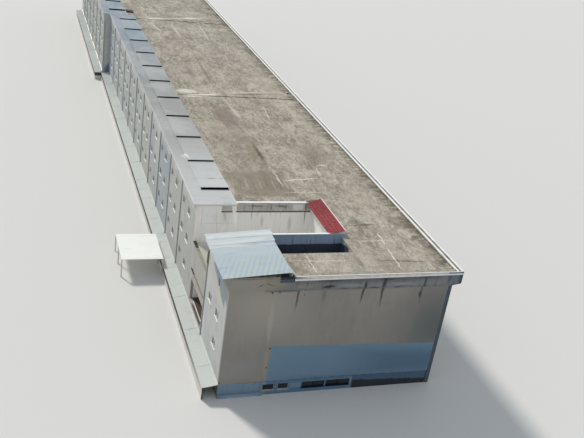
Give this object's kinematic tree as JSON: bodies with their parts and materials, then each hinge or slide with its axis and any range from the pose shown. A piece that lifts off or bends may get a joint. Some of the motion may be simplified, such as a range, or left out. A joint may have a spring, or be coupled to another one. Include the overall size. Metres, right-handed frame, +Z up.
{
  "type": "three-storey factory building, 1:10 scale model",
  "caption": "Long hollow factory block on a half basement with window rows, a flat roof with metal roof lights, a corner terrace, a light well and a lean-to along the yard.",
  "frame": {"origin": "middle of the plan's bounding box at the lowest ground level", "axes": "+X towards the street side, +Y from the near end to the far end along the building, +Z up"},
  "size_m": [2.866, 15.021, 1.3255],
  "materials": {
    "floor_concrete": "matt cast concrete",
    "plinth_render": "matt cement render",
    "wall_render": "matt weathered render",
    "white_render": "matt pale render",
    "roof_concrete": "rough weathered concrete",
    "coping_concrete": "painted concrete, worn",
    "window_glass": "dark glass in a metal frame",
    "sill_marble": "honed white marble",
    "pipe_metal": "satin grey paint",
    "roof_sheet": "satin blue-grey coating",
    "stair_sheet": "satin pale blue coating",
    "purlin_wood": "sawn, weathered",
    "red_tile": "matt fired clay",
    "pale_sheet": "satin pale grey coating",
    "post_metal": "satin pale paint",
    "white_sheet": "satin white coating",
    "hatch_metal": "matt black paint"
  },
  "bodies": {
    "root": {"basement_floor": "floor_concrete", "near_plinth": "plinth_render", "basement_walls": "plinth_render", "ground_floor": "floor_concrete", "first_floor": "floor_concrete", "second_floor": "floor_concrete", "near_wall": "wall_render", "stair_yard_wall": "wall_render", "loading_bay_wall": "wall_render", "loading_recess_walls": "wall_render", "main_yard_wall": "wall_render", "wing_yard_wall": "wall_render", "wing_end_wall": "wall_render", "street_wall": "wall_render", "far_wall": "wall_render", "terrace_far_wall": "white_render", "terrace_east_wall": "white_render", "terrace_near_wall": "white_render", "light_well_walls": "white_render", "near_roof_slab": "roof_concrete", "main_roof_slab": "roof_concrete", "wing_roof_slab": "roof_concrete", "end_edge_beams": "coping_concrete", "street_edge_beam": "coping_concrete", "yard_edge_beam": "coping_concrete", "street_piers": "coping_concrete", "main_yard_windows": "window_glass", "wing_yard_windows": "window_glass", "street_windows": "window_glass", "basement_windows": "window_glass", "window_sills": "sill_marble", "rainwater_pipes": "pipe_metal", "yard_roof_sheets": "roof_sheet", "roof_lights": "roof_sheet", "roof_light_glazing": "window_glass", "stair_roof_sheets": "stair_sheet", "stair_roof_purlins": "purlin_wood", "tile_strip": "red_tile", "tile_strip_bearer": "white_render", "lean_to_roof": "pale_sheet", "lean_to_wall": "plinth_render", "shelter_posts": "post_metal", "shelter_roof": "white_sheet", "roof_joint_kerbs": "roof_concrete", "roof_hatch": "hatch_metal"}
  },
  "joints": []
}
